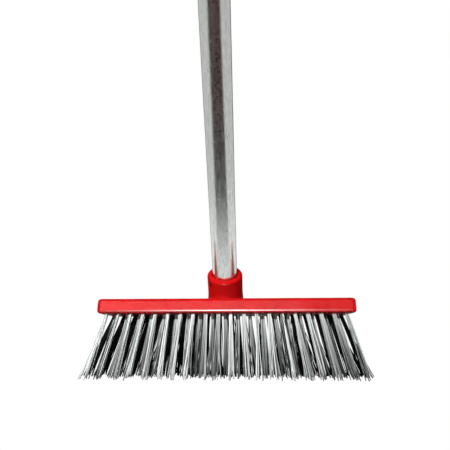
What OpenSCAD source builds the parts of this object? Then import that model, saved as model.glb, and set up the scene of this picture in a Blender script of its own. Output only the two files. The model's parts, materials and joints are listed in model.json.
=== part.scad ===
// Push broom: a moulded block with an angled handle socket, four rows of
// anchored bristle tufts, and a plated steel tube on a threaded plug.
// Origin: on the handle's axis, at the centre of the socket's mouth.
// +X runs along the block, +Z is up with the block level, and the handle
// leans towards -Y, the side the user stands on.

/* [Block] */
// Length of the block, end to end
block_l = 259; // [256:1:360]
// Width of the block, front to back
block_w = 54; // [54:1:80]
// Thickness of the block
block_t = 14.5; // [14.5:0.5:24]
// Radius of the block's upright corners
corner_r = 5; // [4:0.5:7]
// Radius of the long edge under the block
under_edge_r = 3.5; // [1:0.5:3.5]
// Radius of the edge round the block's top
top_edge_r = 3; // [1:0.5:3]

/* [Socket] */
// Lean of the handle from upright
socket_tilt = 42; // [30:1:48]
// Length of the socket along its axis, above the block's top
socket_reach = 34.3; // [34:0.1:50]
// Outside diameter of the socket
socket_d = 36; // [33:0.5:40]
// Rounding of the socket's lip
lip_r = 3; // [1:0.5:3.5]
// Diameter of the recess that takes the foot of the tube
recess_d = 26.4; // [26.4:0.1:27]
// Depth of that recess
recess_depth = 8; // [4:1:10]
// Diameter of the bore that takes the threaded plug
screw_bore_d = 21; // [20:0.5:22]
// Distance of the bore's floor above the block's top, along the axis
bore_floor = 8; // [8:1:14]
// Extra diameter of the socket where it flares into the block
flare = 1.5; // [0:0.5:3]

/* [Bristles] */
// Tufts in a full row
tufts_per_row = 20; // [8:1:20]
// Distance between tufts along a row
tuft_pitch = 12.7; // [9:0.1:12.7]
// Distance between rows
row_pitch = 13; // [8:0.5:13]
// Diameter of a tuft hole
hole_d = 4.6; // [4:0.1:5]
// Depth of a tuft hole
hole_depth = 10.5; // [9:0.5:10.5]
// Height of the block's underside above the floor
bristle_reach = 62; // [40:1:90]
// Lean of the tufts at the ends of a row
fan_angle = 13; // [0:1:24]
// Lean of the outer rows towards the front and the back
splay_angle = 5; // [0:1:8]
// Radius of a tuft where it meets the floor
tuft_tip_r = 4.5; // [3:0.5:5.5]

/* [Anchors] */
// Thickness of the flat wire
anchor_t = 0.6; // [0.4:0.1:0.8]
// Height of the anchor in its hole
anchor_h = 2.4; // [2:0.1:3]
// Length of the anchor, which bites into both sides of the hole
anchor_l = 5.6; // [5.4:0.1:6]

/* [Handle] */
// Outside diameter of the tube
tube_d = 25; // [24:0.5:25]
// Wall of the tube
tube_wall = 0.6; // [0.5:0.1:1.5]
// Length of the tube
tube_l = 1200; // [600:10:1500]
// Length of the plug inside the tube
plug_spigot_l = 30; // [20:1:40]
// Pitch of the plug's thread
thread_pitch = 4; // [3:0.5:5]
// Depth of the plug's thread
thread_depth = 1; // [0.6:0.1:1.4]

/* [End cap] */
// Length of the cap's round part, above the tube
cap_l = 22; // [16:1:40]
// Thickness of the cap's flat eye
eye_t = 8; // [6:0.5:12]
// Diameter of the hanging hole
eye_d = 9; // [6:0.5:11]

/* [Hidden] */
$fn = 48;

rows = 4;
fit_gap = 0.1;                 // free space round a plug, a spigot or a tuft in its hole
flange_t = 2;                  // plug flange between the tube and the socket's shoulder
shoulder = -recess_depth;      // height of the recess's floor on the handle's axis
tube_foot = shoulder + fit_gap + flange_t;
tube_top = tube_foot + tube_l;
tube_bore_d = tube_d - 2 * tube_wall;
screw_bore_l = socket_reach - recess_depth - bore_floor;
trim = 2;                      // depth to which the socket's root is sunk in the block
over = 1;                      // overshoot of a cutting tool past the face it opens
mouth_bevel = 0.8;             // bevel on the inner edge of the socket's mouth
step_in = 0.2;                 // how far the plug's flange and the cap sit inside the tube's surface
flush_d = tube_d - 2 * step_in;
flare_l = 12;                  // length of the flare along the socket
eye_r = tube_d / 2 - 1;
first_row_y = -row_pitch * (rows - 1) / 2;
anchor_seat = 1.2;             // bristle fold above the anchor, at the bottom of the hole
ridge_root = 0.2;              // depth to which a thread ridge is sunk in the plug's core

// Moves children from the origin's frame to the middle of the block's top face.
module at_block_top() {
  translate([0, socket_reach * sin(socket_tilt), -socket_reach * cos(socket_tilt)]) children();
}

// Turns children so that their +Z runs up the handle.
module along_handle() {
  rotate([socket_tilt, 0, 0]) children();
}

// Section of the block's rim: inner side at x = 0, outer side at x = corner_r, top at y = 0.
module rim_section() {
  low = -block_t;
  intersection() {
    translate([0, low]) square([corner_r, block_t]);
    union() {
      translate([0, low]) square([corner_r - under_edge_r, block_t]);
      translate([0, low + under_edge_r]) square([corner_r, block_t - under_edge_r - top_edge_r]);
      translate([0, -top_edge_r - over]) square([corner_r - top_edge_r, top_edge_r + over]);
      translate([corner_r - under_edge_r, low + under_edge_r]) circle(under_edge_r);
      translate([corner_r - top_edge_r, -top_edge_r]) circle(top_edge_r);
    }
  }
}

// A straight stretch of rim, centred on x = 0, facing -Y.
module rim_side(length) {
  rotate([90, 0, -90]) translate([0, 0, -length / 2]) linear_extrude(length) rim_section();
}

module slab() {
  inner_l = block_l - 2 * corner_r;
  inner_w = block_w - 2 * corner_r;
  union() {
    translate([-inner_l / 2, -inner_w / 2, -block_t]) cube([inner_l, inner_w, block_t]);
    for (turn = [0, 180]) rotate([0, 0, turn]) {
      translate([0, -inner_w / 2, 0]) rim_side(inner_l);
      rotate([0, 0, 90]) translate([0, -inner_l / 2, 0]) rim_side(inner_w);
      translate([inner_l / 2, inner_w / 2, 0]) rotate_extrude(angle = 90) rim_section();
      translate([-inner_l / 2, inner_w / 2, 0]) rotate([0, 0, 90]) rotate_extrude(angle = 90) rim_section();
    }
  }
}

// The angled handle socket, with its root sunk a little way into the block.
module socket_body() {
  outer_r = socket_d / 2;
  intersection() {
    translate([-block_w, -block_w, -trim]) cube([2 * block_w, 2 * block_w, 2 * socket_reach]);
    along_handle() union() {
      translate([0, 0, -socket_d]) cylinder(h = socket_d + socket_reach - lip_r, r = outer_r);
      translate([0, 0, socket_reach - lip_r]) cylinder(h = lip_r, r = outer_r - lip_r);
      translate([0, 0, socket_reach - lip_r]) rotate_extrude() lip_section(outer_r);
      translate([0, 0, -socket_d]) cylinder(h = socket_d + trim, r = outer_r + flare / 2);
      translate([0, 0, trim]) cylinder(h = flare_l, r1 = outer_r + flare / 2, r2 = outer_r - fit_gap);
    }
  }
}

// A quarter-round lip: a round bead on the socket's outer edge.
module lip_section(outer_r) {
  intersection() {
    translate([outer_r - lip_r, 0]) circle(lip_r);
    translate([outer_r - lip_r, 0]) square(lip_r);
  }
}

// Recess for the tube and bore for the plug, cut down the handle's axis.
module socket_cut() {
  along_handle() {
    translate([0, 0, socket_reach - recess_depth]) cylinder(h = recess_depth + over, d = recess_d);
    translate([0, 0, socket_reach - mouth_bevel])
      cylinder(h = mouth_bevel + over, d1 = recess_d, d2 = recess_d + 2 * (mouth_bevel + over));
    translate([0, 0, bore_floor]) cylinder(h = screw_bore_l + over, d = screw_bore_d);
  }
}

// Number of tufts in a row: alternate rows are staggered by half a pitch.
function tuft_count(row) = tufts_per_row - row % 2;

function tuft_x(row, i) = (i - (tuft_count(row) - 1) / 2) * tuft_pitch;

function row_y(row) = first_row_y + row * row_pitch;

// Lean along the row, in proportion to the distance from the middle.
function fan(row, i) = fan_angle * 2 * tuft_x(row, i) / (tuft_pitch * (tufts_per_row - 1));

// Lean across the block, in proportion to the row's distance from its middle.
function splay(row) = splay_angle * 2 * row_y(row) / (row_pitch * (rows - 1));

// Repeats its children at each tuft hole's mouth, in the frame of the block's top.
module at_each_tuft(row) {
  for (i = [0 : tuft_count(row) - 1])
    translate([tuft_x(row, i), row_y(row), -block_t]) children();
}

// The flat wire that pins a folded tuft in its hole.
module anchor(gap = 0) {
  size = [anchor_l + 2 * gap, anchor_t + 2 * gap, anchor_h + 2 * gap];
  translate([0, 0, hole_depth - anchor_seat - anchor_h / 2]) cube(size, center = true);
}

// One tuft: the part folded into its hole, then a cone that leans and is cut level at the floor.
module tuft(lean_x, lean_y) {
  fold_r = hole_d / 2 - fit_gap;
  neck_r = fold_r - 3 * fit_gap;
  free_l = bristle_reach / cos(fan_angle) / cos(splay_angle) + 2 * tuft_tip_r;
  difference() {
    union() {
      cylinder(h = hole_depth - fit_gap, r = fold_r);
      intersection() {
        rotate([lean_y, lean_x, 0])
          translate([0, 0, -free_l]) cylinder(h = free_l + over, r1 = tuft_tip_r, r2 = neck_r);
        translate([-block_w, -block_w, -bristle_reach])
          cube([2 * block_w, 2 * block_w, bristle_reach + fit_gap]);
      }
    }
    anchor(fit_gap);
  }
}

module tuft_row(row) {
  at_block_top()
    for (i = [0 : tuft_count(row) - 1])
      translate([tuft_x(row, i), row_y(row), -block_t]) tuft(-fan(row, i), splay(row));
}

module anchor_row(row) {
  color("silver") at_block_top() at_each_tuft(row) anchor();
}

module block() {
  color("red") at_block_top() difference() {
    union() {
      slab();
      socket_body();
    }
    socket_cut();
    for (row = [0 : rows - 1]) at_each_tuft(row) {
      translate([0, 0, -over]) cylinder(h = hole_depth + over, d = hole_d);
      anchor();
    }
  }
}

module grey_tufts(row) {
  color("lightgrey") tuft_row(row);
}

module black_tufts(row) {
  color([0.08, 0.08, 0.08]) tuft_row(row);
}

// The plug: a threaded nose, a flange under the tube and a spigot inside it.
// The thread is drawn as level ridges.
module thread_plug() {
  crest_r = screw_bore_d / 2 - fit_gap;
  root_r = crest_r - thread_depth;
  nose_l = screw_bore_l - 2 * fit_gap;
  foot = shoulder - nose_l;
  ridges = floor(nose_l / thread_pitch);
  color("dimgray") along_handle() union() {
    translate([0, 0, foot]) cylinder(h = nose_l + flange_t, r = root_r);
    for (i = [0 : ridges - 1])
      translate([0, 0, foot + (i + 0.5) * thread_pitch]) rotate_extrude() polygon([
        [root_r - ridge_root, -thread_pitch / 4],
        [root_r, -thread_pitch / 4],
        [crest_r, -thread_pitch / 8],
        [crest_r, thread_pitch / 8],
        [root_r, thread_pitch / 4],
        [root_r - ridge_root, thread_pitch / 4],
      ]);
    translate([0, 0, shoulder + fit_gap]) cylinder(h = flange_t, d = flush_d);
    translate([0, 0, shoulder + fit_gap]) cylinder(h = flange_t + plug_spigot_l, d = tube_bore_d - 2 * fit_gap);
  }
}

module handle_tube() {
  color("gainsboro") along_handle() translate([0, 0, tube_foot]) difference() {
    cylinder(h = tube_l, d = tube_d);
    translate([0, 0, -over]) cylinder(h = tube_l + 2 * over, d = tube_bore_d);
  }
}

// The cap: a spigot in the tube, a round skirt almost level with the tube's wall, and a flat eye.
module end_cap() {
  edge = 2;
  eye_z = cap_l + eye_r - edge;
  color("red") along_handle() translate([0, 0, tube_top]) difference() {
    union() {
      translate([0, 0, -plug_spigot_l]) cylinder(h = plug_spigot_l + over, d = tube_bore_d - 2 * fit_gap);
      translate([0, 0, fit_gap]) cylinder(h = cap_l - edge, d = flush_d);
      translate([0, 0, cap_l - edge]) cylinder(h = edge, d1 = flush_d, d2 = flush_d - 2 * edge);
      translate([0, 0, eye_z]) rotate([90, 0, 0]) cylinder(h = eye_t, r = eye_r, center = true);
      translate([-eye_r, -eye_t / 2, cap_l - eye_r]) cube([2 * eye_r, eye_t, eye_z - cap_l + eye_r]);
    }
    translate([0, 0, eye_z]) rotate([90, 0, 0]) cylinder(h = eye_t + 2 * over, d = eye_d, center = true);
  }
}

block();
grey_tufts(0);  // grey_tufts_row_1
grey_tufts(1);  // grey_tufts_row_2
black_tufts(2);  // black_tufts_row_3
black_tufts(3);  // black_tufts_row_4
anchor_row(0);  // anchors_row_1
anchor_row(1);  // anchors_row_2
anchor_row(2);  // anchors_row_3
anchor_row(3);  // anchors_row_4
thread_plug();
handle_tube();
end_cap();
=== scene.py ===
# Looks of a push broom: a glossy red moulded head, grey and black bristle tufts
# and a plated steel tube. The broom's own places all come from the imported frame.
import json
import math
import random

import bpy
import numpy as np
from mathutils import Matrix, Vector


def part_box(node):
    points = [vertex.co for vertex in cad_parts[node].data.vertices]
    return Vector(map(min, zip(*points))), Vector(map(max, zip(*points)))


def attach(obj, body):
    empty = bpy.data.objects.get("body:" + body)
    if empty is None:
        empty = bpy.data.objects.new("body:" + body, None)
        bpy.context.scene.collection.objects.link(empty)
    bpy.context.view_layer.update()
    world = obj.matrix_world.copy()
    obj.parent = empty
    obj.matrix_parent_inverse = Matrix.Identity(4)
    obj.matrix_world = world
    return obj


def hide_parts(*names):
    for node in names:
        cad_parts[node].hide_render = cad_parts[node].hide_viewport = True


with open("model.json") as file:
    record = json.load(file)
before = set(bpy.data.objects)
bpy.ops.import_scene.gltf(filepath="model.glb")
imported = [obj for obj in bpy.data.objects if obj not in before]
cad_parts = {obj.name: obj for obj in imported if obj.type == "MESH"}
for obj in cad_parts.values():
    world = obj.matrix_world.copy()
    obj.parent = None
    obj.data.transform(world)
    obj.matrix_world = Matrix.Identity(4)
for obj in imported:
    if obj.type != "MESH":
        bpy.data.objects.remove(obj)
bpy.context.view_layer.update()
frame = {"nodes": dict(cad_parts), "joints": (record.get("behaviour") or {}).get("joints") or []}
MM = 0.001
SEED = 31


# ---------------------------------------------------------------- frame facts

def vertices(node):
    """Vertices of a CAD node, one row a point."""
    mesh = frame["nodes"][node].data
    points = np.zeros(len(mesh.vertices) * 3)
    mesh.vertices.foreach_get("co", points)
    return points.reshape(-1, 3)


def clusters(points, gap):
    """Middles of groups of points that lie more than gap apart along X, from left to right."""
    points = points[np.argsort(points[:, 0])]
    cuts = np.flatnonzero(np.diff(points[:, 0]) > gap) + 1
    return [Vector((g.min(0) + g.max(0)) / 2) for g in np.split(points, cuts)]


CLEAR_OF_SOCKET = 0.8    # share of the way to the block's end beyond which there is only the bar
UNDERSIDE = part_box("block")[0].z
BLOCK_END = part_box("block")[1].x
BLOCK_TOP = max(z for x, y, z in vertices("block") if x > CLEAR_OF_SOCKET * BLOCK_END)
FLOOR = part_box("grey_tufts_row_1")[0].z
JOINTS = {joint["name"]: joint for joint in frame["joints"]}
HANDLE_AXIS = Vector(JOINTS["handle_turn"]["axis"]).normalized()


# ---------------------------------------------------------------- node helpers

def new_material(name):
    material = bpy.data.materials.new(name)
    material.use_nodes = True
    nodes = material.node_tree.nodes
    return material, nodes, material.node_tree.links, nodes["Principled BSDF"]


def ramp(nodes, stops):
    """A colour ramp with stops of (position, grey level or colour)."""
    node = nodes.new("ShaderNodeValToRGB")
    elements = node.color_ramp.elements
    while len(elements) < len(stops):
        elements.new(0.5)
    for element, (position, colour) in zip(elements, stops):
        element.position = position
        if not isinstance(colour, tuple):
            colour = (colour, colour, colour)
        element.color = (*colour, 1)
    return node


def noise(nodes, links, vector, scale, detail=3.0):
    node = nodes.new("ShaderNodeTexNoise")
    node.inputs["Scale"].default_value = scale
    node.inputs["Detail"].default_value = detail
    links.new(vector, node.inputs["Vector"])
    return node.outputs["Fac"]


def mottle(nodes, links, pattern, stops, target):
    """Drives a shader's input with a pattern, through a colour ramp."""
    blend = ramp(nodes, stops)
    links.new(pattern, blend.inputs["Fac"])
    links.new(blend.outputs["Color"], target)


def parts(nodes, links, vector):
    """The x, y and z of a vector."""
    node = nodes.new("ShaderNodeSeparateXYZ")
    links.new(vector, node.inputs["Vector"])
    return node.outputs


def stretched(nodes, links, source, scale, rotation=(0, 0, 0)):
    """Object coordinates, turned and then scaled, for marks that run along one direction."""
    turn = nodes.new("ShaderNodeVectorRotate")
    turn.rotation_type = "EULER_XYZ"
    turn.inputs["Rotation"].default_value = rotation
    links.new(source, turn.inputs["Vector"])
    size = nodes.new("ShaderNodeVectorMath")
    size.operation = "MULTIPLY"
    size.inputs[1].default_value = scale
    links.new(turn.outputs["Vector"], size.inputs[0])
    return size.outputs["Vector"]


def maths(nodes, links, operation, *values):
    """One step of arithmetic. Values are numbers or sockets."""
    node = nodes.new("ShaderNodeMath")
    node.operation = operation
    for socket, value in zip(node.inputs, values):
        if isinstance(value, (int, float)):
            socket.default_value = value
        else:
            links.new(value, socket)
    return node.outputs[0]


def both(nodes, links, first, second):
    """The product of two shares."""
    return maths(nodes, links, "MULTIPLY", first, second)


def fade(nodes, links, value, start, end, low=0.0, high=1.0):
    """Runs smoothly from low to high as value goes from start to end."""
    node = nodes.new("ShaderNodeMapRange")
    node.interpolation_type = "SMOOTHSTEP"
    for name, number in (("From Min", start), ("From Max", end), ("To Min", low), ("To Max", high)):
        node.inputs[name].default_value = number
    links.new(value, node.inputs["Value"])
    return node.outputs["Result"]


def mixed(nodes, links, share, first, second):
    """A colour between two others, each a grey level, a colour or a socket."""
    node = nodes.new("ShaderNodeMix")
    node.data_type = "RGBA"
    colours = [socket for socket in node.inputs if socket.type == "RGBA"]
    shares = [socket for socket in node.inputs if socket.type == "VALUE"]
    links.new(share, shares[0])
    for socket, value in zip(colours, (first, second)):
        if isinstance(value, (int, float)):
            value = (value, value, value)
        if isinstance(value, tuple):
            socket.default_value = (*value, 1)
        else:
            links.new(value, socket)
    return [socket for socket in node.outputs if socket.type == "RGBA"][0]


def bump(nodes, links, height, strength, distance, under=None):
    node = nodes.new("ShaderNodeBump")
    node.inputs["Strength"].default_value = strength
    node.inputs["Distance"].default_value = distance
    links.new(height, node.inputs["Height"])
    if under is not None:
        links.new(under, node.inputs["Normal"])
    return node.outputs["Normal"]


# ---------------------------------------------------------------- materials

RED_SHEEN = 0.09         # strength of the red plastic's reflection
LEAST_SHEEN = 0.03       # what is left of it at a grazing angle
SHEEN_LOSS = (0.3, 0.65)  # how far the surface turns from the eye where the loss starts and ends; the loss is painted shade
SOCKET_SHEEN = 0.1       # share of the sheen that the matt socket keeps
MATT_EDGE = 4 * MM       # height over which the matt face sets in
TIP_CONTRAST = 2.2       # how much the duller filaments darken towards their tips
DRAWN_OUT = 0.16         # scale of the tube's marks along it, against the scale across it
CREASE = 35              # degrees; the edges of CAD nodes that turn more than this stay sharp


def red_plastic(name, matt_above=None):
    """Glossy moulded polypropylene with a faint flow pattern, sink waves and fine scuffs.

    Its sheen is turned down where the surface turns from the eye, a painted shade that keeps
    the underside and the side edges dark. The tool for the socket leaves a matt face, which
    starts at the height matt_above.
    """
    material, nodes, links, shader = new_material(name)
    place = nodes.new("ShaderNodeTexCoord").outputs["Object"]
    flow = noise(nodes, links, place, 28.0)
    reds = [(0.35, (0.52, 0.004, 0.005)), (0.65, (0.59, 0.006, 0.007))]
    mottle(nodes, links, flow, reds, shader.inputs["Base Color"])
    scuffs = noise(nodes, links, place, 160.0, detail=5.0)
    mottle(nodes, links, scuffs, [(0.3, 0.26), (0.7, 0.36)], shader.inputs["Roughness"])
    waves = noise(nodes, links, place, 45.0, detail=1.0)
    waves = bump(nodes, links, waves, strength=0.35, distance=0.4 * MM)
    grain = noise(nodes, links, place, 1400.0, detail=2.0)
    grain = bump(nodes, links, grain, strength=0.06, distance=0.04 * MM, under=waves)
    links.new(grain, shader.inputs["Normal"])
    # Painted shade: the sheen fades where the surface turns from the eye, darkening edges and underside.
    facing = nodes.new("ShaderNodeLayerWeight")
    facing.inputs["Blend"].default_value = 0.5
    sheen = fade(nodes, links, facing.outputs["Facing"], *SHEEN_LOSS, RED_SHEEN, LEAST_SHEEN)
    if matt_above is not None:
        height = parts(nodes, links, place)["Z"]
        matt = fade(nodes, links, height, matt_above, matt_above + MATT_EDGE, 1.0, SOCKET_SHEEN)
        sheen = both(nodes, links, sheen, matt)
    links.new(sheen, shader.inputs["Specular IOR Level"])
    return material


def bristle(name, dark, light, shine):
    """Satin filament. Each strand has its own shade, held in the mesh as strand_shade."""
    material, nodes, links, shader = new_material(name)
    place = nodes.new("ShaderNodeTexCoord").outputs["Object"]
    strand = nodes.new("ShaderNodeAttribute")
    strand.attribute_name = "strand_shade"
    height = parts(nodes, links, place)["Z"]
    contrast = fade(nodes, links, height, UNDERSIDE, FLOOR, 1.0, 1.0 + TIP_CONTRAST)
    shade = maths(nodes, links, "POWER", strand.outputs["Fac"], contrast)
    mottle(nodes, links, shade, [(0.0, dark), (1.0, light)], shader.inputs["Base Color"])
    shader.inputs["Roughness"].default_value = 0.5
    shader.inputs["Specular IOR Level"].default_value = shine
    streaks = noise(nodes, links, stretched(nodes, links, place, (2600, 2600, 90)), 1.0, detail=1.0)
    streaks = bump(nodes, links, streaks, strength=0.2, distance=0.05 * MM)
    links.new(streaks, shader.inputs["Normal"])
    return material


def plated_steel():
    """Plated tube: bright, drawn lengthways, with a fine speckle of pits and haze."""
    material, nodes, links, shader = new_material("plated_steel")
    place = nodes.new("ShaderNodeTexCoord").outputs["Object"]
    lean = math.atan2(-HANDLE_AXIS.y, HANDLE_AXIS.z)
    along = stretched(nodes, links, place, (1.0, 1.0, DRAWN_OUT), (-lean, 0, 0))
    haze = noise(nodes, links, place, 650.0, detail=0.0)
    mottle(nodes, links, haze, [(0.46, 1.0), (0.6, 0.93)], shader.inputs["Metallic"])
    tone = noise(nodes, links, along, 900.0, detail=4.0)
    greys = [(0.3, (0.66, 0.655, 0.65)), (0.6, (0.82, 0.82, 0.815))]
    mottle(nodes, links, tone, greys, shader.inputs["Base Color"])
    drawing = noise(nodes, links, along, 500.0, detail=4.0)
    mottle(nodes, links, drawing, [(0.35, 0.15), (0.7, 0.26)], shader.inputs["Roughness"])
    ripple = noise(nodes, links, along, 260.0, detail=2.0)
    ripple = bump(nodes, links, ripple, strength=0.25, distance=0.05 * MM)
    pits = noise(nodes, links, place, 1300.0, detail=2.0)
    pits = bump(nodes, links, pits, strength=1.0, distance=0.08 * MM, under=ripple)
    links.new(pits, shader.inputs["Normal"])
    return material


def dark_plastic():
    """Satin moulded plastic of the threaded plug."""
    material, nodes, links, shader = new_material("dark_plastic")
    place = nodes.new("ShaderNodeTexCoord").outputs["Object"]
    tone = noise(nodes, links, place, 300.0)
    mottle(nodes, links, tone, [(0.3, 0.018), (0.7, 0.032)], shader.inputs["Base Color"])
    shader.inputs["Roughness"].default_value = 0.45
    grain = noise(nodes, links, place, 1800.0)
    grain = bump(nodes, links, grain, strength=0.15, distance=0.05 * MM)
    links.new(grain, shader.inputs["Normal"])
    return material


def drawn_wire():
    """Bare drawn steel wire of the anchors."""
    material, nodes, links, shader = new_material("drawn_wire")
    place = nodes.new("ShaderNodeTexCoord").outputs["Object"]
    shader.inputs["Metallic"].default_value = 1.0
    shader.inputs["Base Color"].default_value = (0.5, 0.49, 0.47, 1)
    streaks = noise(nodes, links, stretched(nodes, links, place, (60, 2500, 2500)), 1.0)
    mottle(nodes, links, streaks, [(0.3, 0.25), (0.7, 0.45)], shader.inputs["Roughness"])
    return material


def dress(node, material):
    """Gives a carried-over CAD node its material, with smooth shading up to its creases."""
    mesh = frame["nodes"][node].data
    mesh.materials.clear()
    mesh.materials.append(material)
    mesh.shade_smooth()
    mesh.set_sharp_from_angle(angle=math.radians(CREASE))


# ---------------------------------------------------------------- bristles

# Each row's colour, and its strands' usual shade from dark (0) to light (1). The second grey row is
# set darker than the first as painted shade, where the front row shades it.
ROWS = {1: ("grey", 0.92), 2: ("grey", 0.48), 3: ("black", 0.02), 4: ("black", 0.02)}

FILAMENTS = {"grey": 5, "black": 11}  # folded filaments in a tuft; each shows two ends
STRAND_R = 0.48 * MM
STRAND_SIDES = 6
FREE_RINGS = 8           # rings of a strand from its tip to the mouth of its hole
PACK_R = 1.75 * MM       # radius within the hole that the strands' middles keep to
GOLDEN_ANGLE = 2.399963  # radians from one strand to the next, for an even spread
TURN_JITTER = 0.4        # radians that a strand may be off that angle
SIDE_START = 0.42        # gap from the anchor's middle to the nearest strand, as a share of PACK_R
SIDE_DEPTH = 0.55        # depth of the bundle on each side of the anchor, as a share of PACK_R
SKEW = 0.15              # how far apart a filament's two legs may be along the row, as a share of PACK_R
SHOULDER = 0.4 * MM      # depth below the anchor's top at which a filament starts to fold over it
CROWN_GAP = 0.1 * MM     # space between the anchor's top and the fold
FAN_OUT = {"grey": 3.2 * MM, "black": 5.0 * MM}  # usual radius that a tuft spreads to at the floor
FAN_RANGE = (0.75, 1.6)  # a tuft's own spread, as a share of the usual one
LATE_SPREAD = 1.7        # above 1, a tuft stays tight below its hole and spreads towards the floor
BACK_LEAN = 0.7          # extra lean of the black tufts, as a share of their CAD lean
STRAY = 1.2 * MM         # wander of a strand's tip within its tuft
TUFT_STRAY = 1.3 * MM    # wander of a whole tuft's foot
RAGGED = 2.8 * MM        # unevenness of the trimmed tips
BOW = 0.6 * MM           # how far a strand bends sideways midway
STRAY_SHARE = 0.06       # share of strands that lean right out of their tuft
STRAY_REACH = 10 * MM    # how far along the row they may lean
STRAY_DEPTH = 0.5        # and how far across it, as a share of STRAY_REACH
ODD_SHARE = 0.05         # share of strands of the other shade
SHADE_SPREAD = {"grey": 0.22, "black": 0.05}  # unevenness of the strands' shades
FAR_END_SHADE = 0.62     # painted shade: tone of the tufts at the +X end, away from the light, as a share of the others'
ON_LEVEL = 0.2 * MM      # a point this near to a level counts as on it
TUFT_GAP = 3 * MM        # the tufts of a row are further apart than this


def middles_at(points, level):
    """Middles of a row's tufts where they meet a level, from left to right."""
    return clusters(points[abs(points[:, 2] - level) < ON_LEVEL], TUFT_GAP)


def disc_point(rng, k, count):
    """Spreads count points evenly over a unit disc in a sunflower pattern, with a little jitter."""
    radius = math.sqrt((k + 0.5) / count)
    angle = k * GOLDEN_ANGLE + rng.uniform(-TURN_JITTER, TURN_JITTER)
    return Vector((radius * math.cos(angle), radius * math.sin(angle), 0))


def wander(rng, size):
    return Vector((rng.gauss(0, size), rng.gauss(0, size), 0))


def leg_path(rng, mouth, foot, spot, fan_out):
    """Middle line of one strand, from its tip up to the mouth of the hole."""
    packed = spot * PACK_R
    spread = spot * fan_out + wander(rng, STRAY)
    power = LATE_SPREAD
    if rng.random() < STRAY_SHARE:
        spread += Vector((rng.uniform(-1, 1), rng.uniform(-STRAY_DEPTH, STRAY_DEPTH), 0)) * STRAY_REACH
        power = 1
    length = 1 - abs(rng.gauss(0, RAGGED)) / (mouth.z - foot.z)
    bow = wander(rng, BOW)
    path = []
    for i in range(FREE_RINGS):
        t = length * (1 - i / FREE_RINGS)
        path.append(mouth.lerp(foot, t) + packed.lerp(spread, t ** power) + bow * math.sin(math.pi * t))
    path.append(mouth + packed)
    return path


def filament_path(rng, mouth, foot, anchor_top, fan_out, k, count):
    """A whole filament: up one side of the anchor, over it and down the other side."""
    near = disc_point(rng, k, count)
    near.y = -SIDE_START - SIDE_DEPTH * abs(near.y)
    far = disc_point(rng, k, count)
    far.y = SIDE_START + SIDE_DEPTH * abs(far.y)
    far.x = near.x + rng.uniform(-SKEW, SKEW)
    up = leg_path(rng, mouth, foot, near, fan_out)
    down = leg_path(rng, mouth, foot, far, fan_out)
    shoulder = anchor_top - SHOULDER
    crown_x = mouth.x + (near.x + far.x) / 2 * PACK_R
    crown = Vector((crown_x, mouth.y, anchor_top + STRAND_R + CROWN_GAP))
    fold = [Vector((up[-1].x, up[-1].y, shoulder)), crown, Vector((down[-1].x, down[-1].y, shoulder))]
    return up + fold + down[::-1]


def sweep(path, radius, sides):
    """Ring points of a round tube along a path. The rings keep one heading, so the tube doesn't twist."""
    points = np.array([tuple(p) for p in path])
    tangent = np.gradient(points, axis=0)
    tangent /= np.linalg.norm(tangent, axis=1)[:, None]
    first = np.cross(tangent, np.array([1.0, 0.0, 0.0]))
    first /= np.linalg.norm(first, axis=1)[:, None]
    second = np.cross(tangent, first)
    angles = np.linspace(0, 2 * math.pi, sides, endpoint=False)
    ring = np.cos(angles)[None, :, None] * first[:, None] + np.sin(angles)[None, :, None] * second[:, None]
    return (points[:, None] + radius * ring).reshape(-1, 3)


def tube_faces(start, rings, sides):
    """Faces of a closed tube whose ring points are numbered from start."""
    faces = []
    for r in range(rings - 1):
        low = start + r * sides
        for s in range(sides):
            turn = (s + 1) % sides
            faces.append((low + s, low + turn, low + sides + turn, low + sides + s))
    faces.append(tuple(start + s for s in reversed(range(sides))))
    faces.append(tuple(start + (rings - 1) * sides + s for s in range(sides)))
    return faces


def strand_tone(rng, tuft_shade, row_shade, spread):
    """A strand's shade from dark (0) to light (1). A few strands have the other shade."""
    shade = min(max(rng.gauss(tuft_shade, spread), 0), 1)
    if rng.random() < ODD_SHARE:
        shade = 1 - row_shade
    return shade


def tuft_row(number, colour, row_shade, material):
    """All the filaments of one row, as one mesh that stands for the CAD row."""
    name = f"bristles_row_{number}"
    tufts = f"{colour}_tufts_row_{number}"
    anchor_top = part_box(f"anchors_row_{number}")[1].z
    rng = random.Random(SEED + sum(map(ord, name)))
    shell = vertices(tufts)
    points = []
    faces = []
    shades = []
    count = 0
    for seat, foot in zip(middles_at(shell, shell[:, 2].max()), middles_at(shell, FLOOR)):
        mouth = Vector((seat.x, seat.y, UNDERSIDE))
        foot = foot + wander(rng, TUFT_STRAY)
        if colour == "black":
            foot.x += BACK_LEAN * (foot.x - mouth.x)
        fan_out = FAN_OUT[colour] * rng.uniform(*FAN_RANGE)
        # Painted shade: the tufts grow darker towards the +X end, away from the light.
        tuft_shade = row_shade * (1 - (1 - FAR_END_SHADE) * max(mouth.x, 0) / BLOCK_END)
        for k in range(FILAMENTS[colour]):
            path = filament_path(rng, mouth, foot, anchor_top, fan_out, k, FILAMENTS[colour])
            tube = sweep(path, STRAND_R, STRAND_SIDES)
            shade = strand_tone(rng, tuft_shade, row_shade, SHADE_SPREAD[colour])
            points.append(tube)
            faces += tube_faces(count, len(path), STRAND_SIDES)
            shades.append(np.full(len(tube), shade))
            count += len(tube)
    mesh = bpy.data.meshes.new(name)
    mesh.from_pydata(np.concatenate(points).tolist(), [], faces)
    mesh.shade_smooth()
    shade_layer = mesh.attributes.new("strand_shade", "FLOAT", "POINT")
    shade_layer.data.foreach_set("value", np.concatenate(shades))
    mesh.materials.append(material)
    piece = bpy.data.objects.new(name, mesh)
    bpy.context.scene.collection.objects.link(piece)
    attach(piece, "head")
    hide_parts(tufts)


# ---------------------------------------------------------------- stage

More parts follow.
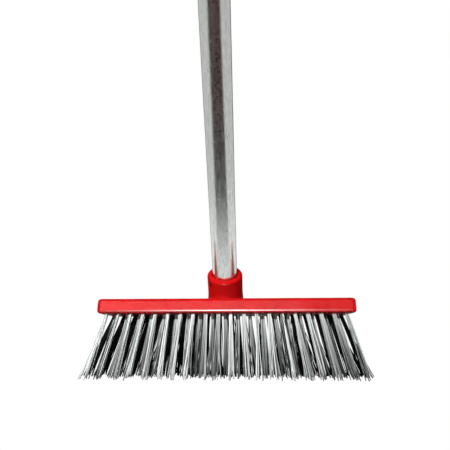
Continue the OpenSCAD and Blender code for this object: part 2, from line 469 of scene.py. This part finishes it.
# The studio as glossy surfaces see it is a stack of tones, each laid over an area. An area is a
# list of soft edges: a part of the ray's direction, where the edge starts and where it is full.
# The parts are x, y and z, aside (x without its sign), along (the part along the handle's axis)
# and tilt (degrees above level, for rays towards the user's side).
ROOM = (0.60, 0.62, 0.60)
PALE_FLOOR = (0.92, 0.96, 0.93)
PALE_FLOOR_AREA = [("along", -0.34, -0.44)]
BACK_WALL = 0.28
BACK_WALL_AREA = [("y", 0.7, 0.99)]
CEILING = 0.05
CEILING_AREA = [("z", 0.3, 0.5), ("aside", 0.6, 0.45)]
WINDOW = (0.4, 6.5)                # a soft window in front, dim at its right end
WINDOW_DIMS = (0.24, 0.02)         # x at which it is dimmest, and x from which it is full
SECOND_PANE = 20.0                 # what a second pane adds at the window's left end
SECOND_PANE_EDGE = (-0.22, -0.34)
WINDOW_AREA = [("tilt", -13, -6), ("tilt", 30, 15), ("x", -0.6, -0.5)]
PANEL = (0.030, 0.035, 0.029)      # a dark panel below the window, as the tube's stripe mirrors it
PANEL_WARM = (0.050, 0.022, 0.022)  # its part with a red cast
PANEL_WARM_AREA = [("x", -0.8, -0.3), ("tilt", -64, -44)]
PANEL_FOOT = 0.03                  # its plain grey lower edge
PANEL_ABOVE_FOOT = [("along", -0.43, -0.36)]
PANEL_AREA = [("along", -0.455, -0.42), ("tilt", -14, -20), ("x", -0.84, -0.66), ("x", 0.75, 0.66)]

FILL_BELOW = 0.02                  # the studio as dull surfaces see it
FILL_ABOVE = 0.14
FILL_ABOVE_AREA = [("z", -0.3, 0.4)]
FLOOR_REACH = 20                   # metres


def area_light(name, place, aim, size, power):
    light = bpy.data.lights.new(name, "AREA")
    light.shape = "RECTANGLE"
    light.size, light.size_y = size
    light.energy = power
    lamp = bpy.data.objects.new(name, light)
    lamp.location = place
    lamp.rotation_euler = (Vector(aim) - Vector(place)).to_track_quat("-Z", "Y").to_euler()
    bpy.context.scene.collection.objects.link(lamp)
    return lamp


def key_light():
    """The main light, above the camera and a little to the left. Nothing mirrors it."""
    lamp = area_light("key", place=(-0.2, -1.35, 0.38), aim=(0, 0, -0.06), size=(0.5, 0.1), power=25)
    lamp.visible_glossy = False


def edge_light():
    """A low light in front. Only the block mirrors it, as a pale sheen along its front."""
    lamp = area_light("edge", place=(-0.05, -0.85, -0.5), aim=(-0.01, 0, -0.04), size=(0.3, 0.4), power=160)
    lamp.visible_diffuse = False
    only_block = bpy.data.collections.new("edge_light_shines_on")
    only_block.objects.link(frame["nodes"]["block"])
    lamp.light_linking.receiver_collection = only_block


def ray_parts(nodes, links):
    """The parts of a ray's direction that the areas are drawn with."""
    direction = nodes.new("ShaderNodeTexCoord").outputs["Generated"]
    x, y, z = parts(nodes, links, direction)
    forward = maths(nodes, links, "MULTIPLY", y, -1.0)
    up_handle = nodes.new("ShaderNodeVectorMath")
    up_handle.operation = "DOT_PRODUCT"
    up_handle.inputs[1].default_value = HANDLE_AXIS
    links.new(direction, up_handle.inputs[0])
    return {
        "x": x,
        "y": y,
        "z": z,
        "aside": maths(nodes, links, "ABSOLUTE", x),
        "along": up_handle.outputs["Value"],
        "tilt": maths(nodes, links, "DEGREES", maths(nodes, links, "ARCTAN2", z, forward)),
    }


def laid_over(nodes, links, ray, under, area, tone):
    """The surroundings so far, with a tone laid over an area of them."""
    share = 1.0
    for part, start, end in area:
        share = both(nodes, links, fade(nodes, links, ray[part], start, end), share)
    return mixed(nodes, links, share, under, tone)


def studio_world():
    """A white studio. Glossy rays see its dark lower front, which draws the stripe down the tube."""
    world = bpy.data.worlds.new("studio")
    bpy.context.scene.world = world
    world.use_nodes = True
    nodes, links = world.node_tree.nodes, world.node_tree.links
    ray = ray_parts(nodes, links)

    window = fade(nodes, links, ray["x"], *WINDOW_DIMS, *WINDOW)
    second_pane = fade(nodes, links, ray["x"], *SECOND_PANE_EDGE, 0.0, SECOND_PANE)
    window = maths(nodes, links, "ADD", window, second_pane)
    panel = laid_over(nodes, links, ray, PANEL, PANEL_WARM_AREA, PANEL_WARM)
    panel = laid_over(nodes, links, ray, PANEL_FOOT, PANEL_ABOVE_FOOT, panel)
    glossy = ROOM
    for area, tone in (
        (PALE_FLOOR_AREA, PALE_FLOOR),
        (BACK_WALL_AREA, BACK_WALL),
        (CEILING_AREA, CEILING),
        (WINDOW_AREA, window),
        (PANEL_AREA, panel),
    ):
        glossy = laid_over(nodes, links, ray, glossy, area, tone)

    soft = laid_over(nodes, links, ray, FILL_BELOW, FILL_ABOVE_AREA, FILL_ABOVE)
    path = nodes.new("ShaderNodeLightPath")
    shown = mixed(nodes, links, path.outputs["Is Glossy Ray"], soft, glossy)
    shown = mixed(nodes, links, path.outputs["Is Camera Ray"], shown, 1.0)
    links.new(shown, nodes["Background"].inputs["Color"])


def white_floor():
    """A plain white floor that merges with the white background, as the picture shows.

    Only the camera sees it: it adds no light, shadow or reflection to the broom.
    """
    material, nodes, links, _ = new_material("floor")
    glow = nodes.new("ShaderNodeEmission")
    glow.inputs["Color"].default_value = (1, 1, 1, 1)
    links.new(glow.outputs["Emission"], nodes["Material Output"].inputs["Surface"])
    mesh = bpy.data.meshes.new("floor")
    corners = [(x * FLOOR_REACH, y * FLOOR_REACH, FLOOR) for x, y in ((-1, -1), (1, -1), (1, 1), (-1, 1))]
    mesh.from_pydata(corners, [], [(0, 1, 2, 3)])
    mesh.materials.append(material)
    floor = bpy.data.objects.new("floor", mesh)
    bpy.context.scene.collection.objects.link(floor)
    floor.visible_diffuse = False
    floor.visible_glossy = False
    floor.visible_transmission = False
    floor.visible_shadow = False


def camera():
    """The camera stands on the user's side, a little below the block, looking up the handle."""
    data = bpy.data.cameras.new("camera")
    data.lens = 30.4
    data.sensor_width = 36
    data.clip_start = 0.01
    item = bpy.data.objects.new("camera", data)
    item.location = (19.5 * MM, -386.1 * MM, -68.3 * MM)
    tilt_from_straight_down = math.radians(107.26)
    turn_to_the_left = math.radians(2.86)
    item.rotation_euler = (tilt_from_straight_down, 0, turn_to_the_left)
    bpy.context.scene.collection.objects.link(item)
    bpy.context.scene.camera = item


# ---------------------------------------------------------------- build

FILAMENT = {
    "grey": bristle("grey_filament", dark=(0.025, 0.028, 0.027), light=(0.86, 0.90, 0.88), shine=0.1),
    "black": bristle("black_filament", dark=(0.003, 0.003, 0.003), light=(0.34, 0.35, 0.34), shine=0.03),
}
WIRE = drawn_wire()
dress("block", red_plastic("red_plastic", matt_above=BLOCK_TOP))
dress("end_cap", red_plastic("cap_plastic"))
dress("handle_tube", plated_steel())
dress("thread_plug", dark_plastic())
for number, (colour, row_shade) in ROWS.items():
    dress(f"anchors_row_{number}", WIRE)
    tuft_row(number, colour, row_shade, FILAMENT[colour])

studio_world()
white_floor()
camera()
key_light()
edge_light()
bpy.context.scene.view_settings.view_transform = "Standard"
